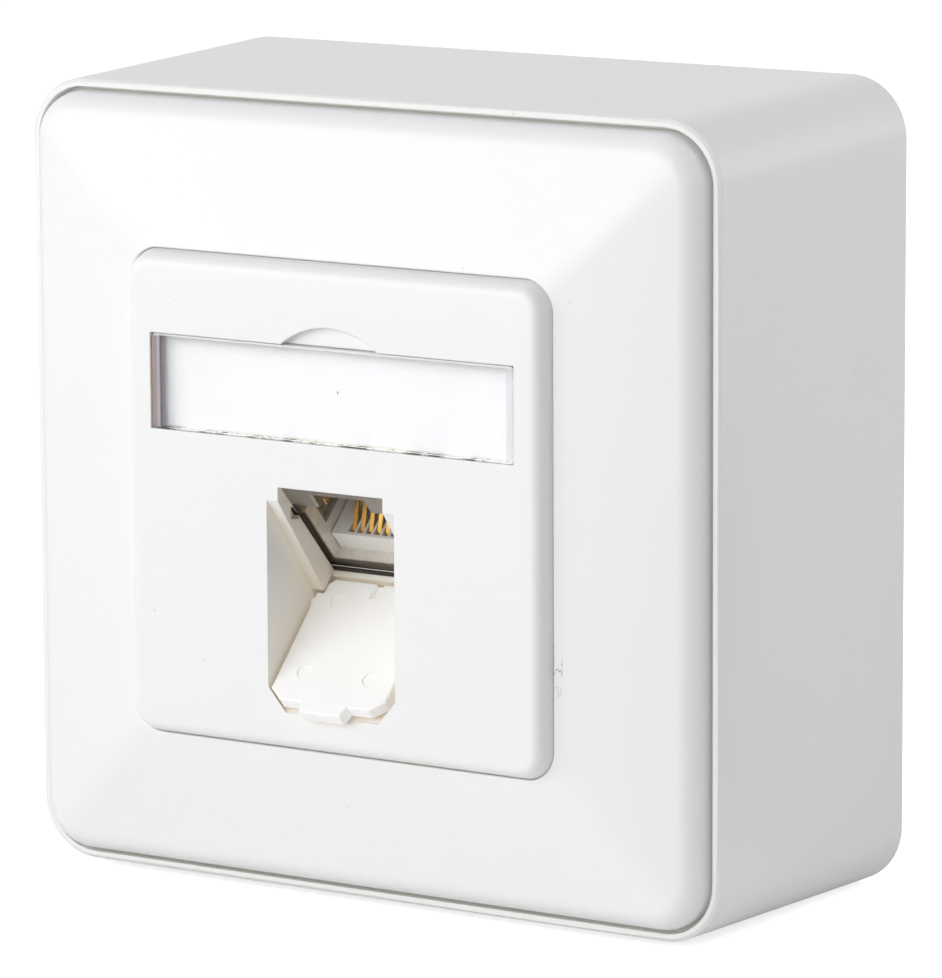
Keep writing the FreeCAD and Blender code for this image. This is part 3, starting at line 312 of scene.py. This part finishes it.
def clear_pane(name, tint):
    """Clear moulded pane with faint waves, its cut ends and top edge painted with the reflections seen in
    them, and broken black dashes along its lower edge.
    """
    s = Shader(name)
    low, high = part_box("label_window")
    x = s.along(ORIGIN, ALONG_X)
    z = s.along(ORIGIN, ALONG_Z)
    left = s.span(x, low[0] + 1.1 * MM, low[0] + 1.0 * MM, 0.0, 0.72)
    right = s.span(x, high[0] - 0.85 * MM, high[0] - 0.75 * MM, 0.0, 0.45)
    # Broken black dashes along the lower edge.
    dashes = s.span(s.noise(620.0, 3.0, 0.7, (1.0, 0.2, 0.2)), 0.49, 0.54)
    lower = s.math("MULTIPLY", s.span(z, low[2] + 0.08 * MM, low[2] + 0.06 * MM), dashes)
    upper = s.span(z, high[2] - 0.2 * MM, high[2] - 0.1 * MM, 0.0, 0.8)
    # Painted reflections: opaque colour on the cut ends, slate and russet at the left and grey at the
    # right, and a pale top edge.
    russet, slate = (0.50, 0.38, 0.35, 1.0), (0.55, 0.55, 0.62, 1.0)
    grey, pale, black = (0.72, 0.72, 0.74, 1.0), (0.9, 0.9, 0.89, 1.0), (0.04, 0.035, 0.03, 1.0)
    ends = s.mix(s.span(x, low[0] + 0.6 * MM, low[0] + 0.75 * MM), russet, slate)
    ends = s.mix(s.span(x, 0.0, 1.0 * MM), ends, grey)
    ends = s.mix(s.span(upper, 0.0, 0.1), ends, pale)
    ends = s.mix(lower, ends, black)
    cut = s.math("MAXIMUM", s.math("MAXIMUM", left, right), s.math("MAXIMUM", lower, upper))
    waves = s.noise(120.0, 2.0, 0.5)
    normal = s.bump(waves, 0.05, 0.05 * MM, s.edge_normal(0.12 * MM))
    surface = s.add("ShaderNodeBsdfPrincipled")
    for key, value in (("Base Color", colour(tint)), ("Roughness", 0.03), ("IOR", 1.49),
                       ("Transmission Weight", 1.0), ("Normal", normal)):
        s.feed(surface.inputs[key], value)
    through = s.add("ShaderNodeBsdfTransparent", {"Color": colour(tint)})
    path = s.add("ShaderNodeLightPath")
    blend = s.add("ShaderNodeMixShader")
    s.feed(blend.inputs[0], path.outputs["Is Shadow Ray"])
    s.feed(blend.inputs[1], surface.outputs[0])
    s.feed(blend.inputs[2], through.outputs[0])
    ground = s.add("ShaderNodeBsdfDiffuse", {"Color": ends})
    whole = s.add("ShaderNodeMixShader")
    s.feed(whole.inputs[0], cut)
    s.feed(whole.inputs[1], blend.outputs[0])
    s.feed(whole.inputs[2], ground.outputs[0])
    out = s.add("ShaderNodeOutputMaterial")
    s.feed(out.inputs["Surface"], whole.outputs[0])
    return s.material


def paper(name, tint):
    """Matt card with faint fibres and clouds, and one dark fleck."""
    s = Shader(name)
    fibres = s.noise(1900.0, 6.0, 0.7, (1.0, 1.0, 2.4))
    clouds = s.noise(90.0, 3.0, 0.5)
    base = s.mix(s.span(clouds, 0.35, 0.7), shade(tint, 0.985), colour(tint))
    base = s.mix(s.span(fibres, 0.55, 0.8, 0.0, 0.12), base, shade(tint, 0.92))
    wide = s.band(s.along(FLECK, ALONG_X), 0.0, 0.05 * MM, 0.05 * MM)
    high = s.band(s.along(FLECK, ALONG_Z), 0.0, 0.1 * MM, 0.08 * MM)
    base = s.mix(s.math("MULTIPLY", wide, high), base, (0.12, 0.11, 0.1, 1.0))
    # Painted light: the card glows faintly, which lifts it.
    s.finish(base_color=base, roughness=0.8, normal=s.bump(fibres, 0.1, 0.02 * MM), specular_ior_level=0.2,
             emission_color=(1.0, 1.0, 1.0, 1.0), emission_strength=0.02)
    return s.material


def laminate(name, tint):
    """Green board with a faint weave under the lacquer."""
    s = Shader(name)
    wave = s.add("ShaderNodeTexWave", {"Vector": s.where, "Scale": 900.0, "Distortion": 1.0})
    weave = wave.outputs["Fac"]
    base = s.mix(s.span(weave, 0.2, 0.8, 0.0, 0.35), colour(tint), shade(tint, 1.35))
    s.finish(base_color=base, roughness=0.35, normal=s.bump(weave, 0.05, 0.02 * MM))
    return s.material


# ---------------------------------------------------------------- finishing CAD nodes

def dress(node, material, crisp=CRISP):
    """Give a CAD node its finish; welded and split at crisp edges, so that curves shade smoothly."""
    piece = NODES[node]
    for place in piece.material_slots:
        place.material = material
    piece.data.polygons.foreach_set("use_smooth", np.ones(len(piece.data.polygons), bool))
    weld = piece.modifiers.new("Weld", "WELD")
    weld.merge_threshold = 0.002 * MM
    split = piece.modifiers.new("CrispEdges", "EDGE_SPLIT")
    split.split_angle = math.radians(crisp)


def dress_all(names, material):
    for name in names:
        dress(name, material)


def numbered(stem, count):
    return ["%s_%d" % (stem, number) for number in range(1, count + 1)]


# ---------------------------------------------------------------- what a user may change

def tint(name, default, words):
    return FloatVectorProperty(name=name, description=words, default=default, subtype="COLOR", size=3,
                               min=0.0, max=1.0)


class JackBoxTints(bpy.types.PropertyGroup):
    """Colours of the finishes."""
    housing: tint("Housing", (0.91, 0.905, 0.885), "Colour of the wall housing")
    cover: tint("Cover frame", (0.93, 0.93, 0.92), "Colour of the bevelled frame")
    plate: tint("Centre plate", (0.93, 0.93, 0.92), "Colour of the centre plate")
    flap: tint("Dust flap", (0.93, 0.925, 0.905), "Colour of the dust flap")
    card: tint("Label card", (0.79, 0.79, 0.80), "Colour of the label card")
    casting: tint("Casting", (0.80, 0.77, 0.71), "Colour of the die-cast shells")
    insert: tint("Insert", (0.84, 0.82, 0.77), "Colour of the jack's moulded tongue")
    gold: tint("Contacts", (0.82, 0.49, 0.14), "Colour of the gold plating")
    bronze: tint("Springs", (0.52, 0.46, 0.38), "Colour of the springs")
    steel: tint("Steel", (0.58, 0.58, 0.58), "Colour of the plated steel")


class JackBoxFinish(bpy.types.PropertyGroup):
    """Gloss and edge sizes."""
    gloss: FloatProperty(name="Plastic roughness", description="Roughness of the white plastic",
                         default=0.31, min=0.05, max=0.8)
    edge: FloatProperty(name="Edge softness", description="Radius of the softened plastic edges",
                        default=0.00018, min=0.0, max=0.001, subtype="DISTANCE", unit="LENGTH")


class JackBoxStage(bpy.types.PropertyGroup):
    """Camera and light."""
    azimuth: FloatProperty(name="Azimuth", description="Camera turned to the right of the front",
                           default=math.radians(32.3824), subtype="ANGLE")
    elevation: FloatProperty(name="Elevation", description="Camera above the horizon",
                             default=math.radians(10.1744), subtype="ANGLE")
    roll: FloatProperty(name="Roll", description="Camera turned about its own axis",
                        default=math.radians(-0.2951), subtype="ANGLE")
    distance: FloatProperty(name="Distance", description="Camera to the aiming point",
                            default=0.68804, subtype="DISTANCE", unit="LENGTH")
    lens: FloatProperty(name="Lens", description="Focal length on a 36 mm frame", default=239.14)
    shift_right: FloatProperty(name="Aim right",
                               description="Aiming point to the right of the wall's centre",
                               default=-0.0088468, subtype="DISTANCE", unit="LENGTH")
    shift_up: FloatProperty(name="Aim up", description="Aiming point above the wall's centre",
                            default=-0.0040174, subtype="DISTANCE", unit="LENGTH")
    key: FloatProperty(name="Key light", description="Power of the front softbox in watts", default=12.7)
    top: FloatProperty(name="Top light", description="Power of the overhead softbox in watts", default=0.35)
    side: FloatProperty(name="Side light", description="Power of the right softbox in watts", default=1.95)
    shoulder: FloatProperty(name="Shoulder light", description="Power of the strip above the right edge",
                            default=1.1)
    ambient: FloatProperty(name="Ambient", description="Strength of the even room light", default=0.36)


# ---------------------------------------------------------------- operators

class JACKBOX_OT_housing(bpy.types.Operator):
    """Finish the wall housing in satin white plastic"""
    bl_idname = "jackbox.housing"
    bl_label = "Housing"

    def execute(self, context):
        tints, finish = context.scene.jackbox_tints, context.scene.jackbox_finish
        dress("back_box", moulded("housing_plastic_look", tints.housing, finish.gloss + 0.02, finish.edge))
        return {"FINISHED"}


class JACKBOX_OT_cover_frame(bpy.types.Operator):
    """Finish the bevelled cover frame"""
    bl_idname = "jackbox.cover_frame"
    bl_label = "Cover frame"

    def execute(self, context):
        tints, finish = context.scene.jackbox_tints, context.scene.jackbox_finish
        look = moulded("frame_plastic_look", tints.cover, finish.gloss, finish.edge, specks=0.2,
                       scuffs=SCRATCHES)
        dress("cover_frame", look, FRAME_CRISP)
        return {"FINISHED"}


class JACKBOX_OT_centre_plate(bpy.types.Operator):
    """Finish the centre plate with its port funnel"""
    bl_idname = "jackbox.centre_plate"
    bl_label = "Centre plate"

    def execute(self, context):
        tints, finish = context.scene.jackbox_tints, context.scene.jackbox_finish
        look = moulded("plate_plastic_look", tints.plate, finish.gloss - 0.01, finish.edge, crevice_shade=0.2,
                       specks=0.2, hollow=PORT_HOLLOW)
        dress("centre_plate", look)
        return {"FINISHED"}


class JACKBOX_OT_label(bpy.types.Operator):
    """Finish the clear label window and the card behind it"""
    bl_idname = "jackbox.label"
    bl_label = "Label"

    def execute(self, context):
        tints = context.scene.jackbox_tints
        dress("label_window", clear_pane("clear_pane_look", (0.97, 0.975, 0.975)))
        dress("label_card", paper("label_paper_look", tints.card))
        return {"FINISHED"}


class JACKBOX_OT_dust_flap(bpy.types.Operator):
    """Finish the hinged dust flap"""
    bl_idname = "jackbox.dust_flap"
    bl_label = "Dust flap"

    def execute(self, context):
        tints, finish = context.scene.jackbox_tints, context.scene.jackbox_finish
        # Painted light: the lift gives the flap an even glow.
        dress("dust_flap", moulded("flap_plastic_look", tints.flap, finish.gloss + 0.05, 0.12 * MM,
                                   specks=0.5, lift=0.14))
        return {"FINISHED"}


class JACKBOX_OT_jack(bpy.types.Operator):
    """Finish the die-cast shells, the slotted tongue, the contacts and the springs"""
    bl_idname = "jackbox.jack"
    bl_label = "Jack"

    def execute(self, context):
        tints = context.scene.jackbox_tints
        dress_all(["jack_shell", "rear_shell"], casting("die_cast_look", tints.casting))
        dress("jack_insert", moulded("insert_plastic_look", tints.insert, 0.42, 0.06 * MM))
        gold = metal("contact_gold_look", tints.gold, rough=(0.16, 0.3), grain=1500.0,
                     stretch=(6.0, 1.0, 1.0), edge=0.05 * MM, stain=0.15)
        dress_all(numbered("contact", 8), gold)
        bronze = metal("spring_bronze_look", tints.bronze, rough=(0.2, 0.4), grain=1500.0,
                       stretch=(1.0, 4.0, 1.0), edge=0.05 * MM)
        dress_all(["shield_spring_left", "shield_spring_right"], bronze)
        return {"FINISHED"}


class JACKBOX_OT_wiring_side(bpy.types.Operator):
    """Finish the board, the terminal block, its blades and the wire cap"""
    bl_idname = "jackbox.wiring_side"
    bl_label = "Wiring side"

    def execute(self, context):
        dress("contact_board", laminate("board_laminate_look", (0.06, 0.24, 0.11)))
        dress("idc_block", moulded("block_plastic_look", (0.78, 0.78, 0.75), 0.4, 0.1 * MM))
        blades = metal("terminal_metal_look", (0.66, 0.66, 0.63), rough=(0.2, 0.35), grain=1500.0,
                       stretch=(1.0, 1.0, 5.0), edge=0.05 * MM)
        dress_all(numbered("idc_terminal", 8), blades)
        dress("wire_cap", moulded("cap_plastic_look", (0.10, 0.105, 0.12), 0.4, 0.1 * MM))
        return {"FINISHED"}


class JACKBOX_OT_fixings(bpy.types.Operator):
    """Finish the support frame, the carrier, the strap and the screws"""
    bl_idname = "jackbox.fixings"
    bl_label = "Fixings"

    def execute(self, context):
        steel = context.scene.jackbox_tints.steel
        ring = metal("ring_steel_look", steel, rough=(0.3, 0.5), grain=300.0, stretch=(1.0, 1.0, 12.0),
                     edge=0.1 * MM, stain=0.35)
        dress("support_frame", ring)
        screws = metal("screw_steel_look", steel, rough=(0.22, 0.4), grain=1500.0,
                       stretch=(1.0, 1.0, 1.0), edge=0.08 * MM)
        dress_all(["support_frame_screws", "centre_plate_screws", "carrier_screws"], screws)
        strap = metal("latch_steel_look", steel, rough=(0.2, 0.35), grain=900.0, stretch=(8.0, 1.0, 1.0),
                      edge=0.06 * MM)
        dress("module_latch", strap)
        dress("module_carrier", moulded("carrier_plastic_look", (0.70, 0.70, 0.67), 0.4, 0.12 * MM))
        return {"FINISHED"}


def soft_box(name, watts, place, size, tone):
    """A rectangular area lamp at a place, facing the aiming point."""
    lamp = bpy.data.lights.new(name, "AREA")
    lamp.shape = "RECTANGLE"
    lamp.size, lamp.size_y = size
    lamp.energy = watts
    lamp.color = tone
    thing = bpy.data.objects.new(name, lamp)
    bpy.context.scene.collection.objects.link(thing)
    thing.location = place
    thing.rotation_mode = "QUATERNION"
    thing.rotation_quaternion = (Vector(place) - Vector(AIM)).to_track_quat("Z", "Y")


def room_light(ambient):
    """An even room: plain grey to matt surfaces, white to the camera and to gloss and glass."""
    world = bpy.data.worlds.new("Room")
    world.use_nodes = True
    tree = world.node_tree
    tree.nodes.clear()
    path = tree.nodes.new("ShaderNodeLightPath")
    bright = path.outputs["Is Camera Ray"]
    for ray in ("Is Glossy Ray", "Is Transmission Ray"):
        either = tree.nodes.new("ShaderNodeMath")
        either.operation = "MAXIMUM"
        tree.links.new(bright, either.inputs[0])
        tree.links.new(path.outputs[ray], either.inputs[1])
        bright = either.outputs[0]
    level = tree.nodes.new("ShaderNodeMapRange")
    tree.links.new(bright, level.inputs["Value"])
    level.inputs["To Min"].default_value = ambient
    level.inputs["To Max"].default_value = 1.0
    glow = tree.nodes.new("ShaderNodeBackground")
    tree.links.new(level.outputs[0], glow.inputs["Strength"])
    glow.inputs["Color"].default_value = (1.0, 1.0, 1.0, 1.0)
    out = tree.nodes.new("ShaderNodeOutputWorld")
    tree.links.new(glow.outputs[0], out.inputs["Surface"])
    bpy.context.scene.world = world


def floor_look():
    """White matt floor that reads as white to the camera and keeps the shadow on it."""
    s = Shader("floor_look")
    grain = s.noise(60.0, 2.0)
    white = s.mix(s.span(grain, 0.3, 0.7), (0.9, 0.9, 0.9, 1.0), (0.92, 0.92, 0.92, 1.0))
    matt = s.add("ShaderNodeBsdfDiffuse", {"Color": white})
    glow = s.add("ShaderNodeEmission", {"Strength": FLOOR_GLOW})
    path = s.add("ShaderNodeLightPath")
    lit = s.add("ShaderNodeAddShader")
    s.feed(lit.inputs[0], matt.outputs[0])
    s.feed(lit.inputs[1], glow.outputs[0])
    pick = s.add("ShaderNodeMixShader")
    s.feed(pick.inputs[0], path.outputs["Is Camera Ray"])
    s.feed(pick.inputs[1], matt.outputs[0])
    s.feed(pick.inputs[2], lit.outputs[0])
    out = s.add("ShaderNodeOutputMaterial")
    s.feed(out.inputs["Surface"], pick.outputs[0])
    return s.material


def place_camera(setting):
    """Camera on a sphere round the aiming point: back = (sin a cos e, -cos a cos e, sin e)."""
    a, e, roll = setting.azimuth, setting.elevation, setting.roll
    back = Vector((math.sin(a) * math.cos(e), -math.cos(a) * math.cos(e), math.sin(e)))
    right = Vector((math.cos(a), math.sin(a), 0.0))
    up = Vector((-math.sin(a) * math.sin(e), math.cos(a) * math.sin(e), math.cos(e)))
    spot = right * setting.shift_right + up * setting.shift_up + back * setting.distance
    across = right * math.cos(roll) + up * math.sin(roll)
    upward = up * math.cos(roll) - right * math.sin(roll)
    lens = bpy.data.cameras.new("Camera")
    lens.sensor_width = 36.0
    lens.lens = setting.lens
    lens.clip_start, lens.clip_end = 0.01, 20.0
    camera = bpy.data.objects.new("Camera", lens)
    bpy.context.scene.collection.objects.link(camera)
    camera.matrix_world = Matrix.Translation(spot) @ Matrix((across, upward, back)).transposed().to_4x4()
    bpy.context.scene.camera = camera


class JACKBOX_OT_stage(bpy.types.Operator):
    """Set up the camera, the white floor and the soft studio light"""
    bl_idname = "jackbox.stage"
    bl_label = "Stage"

    def execute(self, context):
        setting = context.scene.jackbox_stage
        place_camera(setting)
        low = CAD_BOX[0]
        signs = ((-1, -1), (1, -1), (1, 1), (-1, 1))
        mesh = bpy.data.meshes.new("Floor")
        corners = [(x * FLOOR_HALF, y * FLOOR_HALF, low.z) for x, y in signs]
        mesh.from_pydata(corners, [], [(0, 1, 2, 3)])
        mesh.materials.append(floor_look())
        floor = bpy.data.objects.new("Floor", mesh)
        context.scene.collection.objects.link(floor)
        room_light(setting.ambient)
        for name, (place, size, tone) in LAMPS.items():
            soft_box(name, getattr(setting, name.lower()), place, size, tone)
        context.scene.view_settings.view_transform = "Standard"
        return {"FINISHED"}


OPERATORS = (
    JACKBOX_OT_housing, JACKBOX_OT_cover_frame, JACKBOX_OT_centre_plate, JACKBOX_OT_label,
    JACKBOX_OT_dust_flap, JACKBOX_OT_jack, JACKBOX_OT_wiring_side, JACKBOX_OT_fixings, JACKBOX_OT_stage,
)
GROUPS = {"jackbox_tints": JackBoxTints, "jackbox_finish": JackBoxFinish, "jackbox_stage": JackBoxStage}


class JACKBOX_PT_panel(bpy.types.Panel):
    """Sidebar panel that lists the settings and the steps"""
    bl_idname = "JACKBOX_PT_panel"
    bl_label = "Jack box"
    bl_space_type = "VIEW_3D"
    bl_region_type = "UI"
    bl_category = "Jack box"

    def draw(self, context):
        for owner, group in GROUPS.items():
            box = self.layout.box()
            for prop in group.__annotations__:
                box.prop(getattr(context.scene, owner), prop)
        for operator in OPERATORS:
            self.layout.operator(operator.bl_idname)


def register():
    for item in list(GROUPS.values()) + list(OPERATORS) + [JACKBOX_PT_panel]:
        bpy.utils.register_class(item)
    for owner, group in GROUPS.items():
        setattr(bpy.types.Scene, owner, PointerProperty(type=group))


def unregister():
    for owner in GROUPS:
        delattr(bpy.types.Scene, owner)
    for item in [JACKBOX_PT_panel] + list(OPERATORS) + list(GROUPS.values()):
        bpy.utils.unregister_class(item)


def main():
    register()
    for operator in OPERATORS:
        family, step = operator.bl_idname.split(".")
        getattr(getattr(bpy.ops, family), step)()


if __name__ == "__main__":
    main()
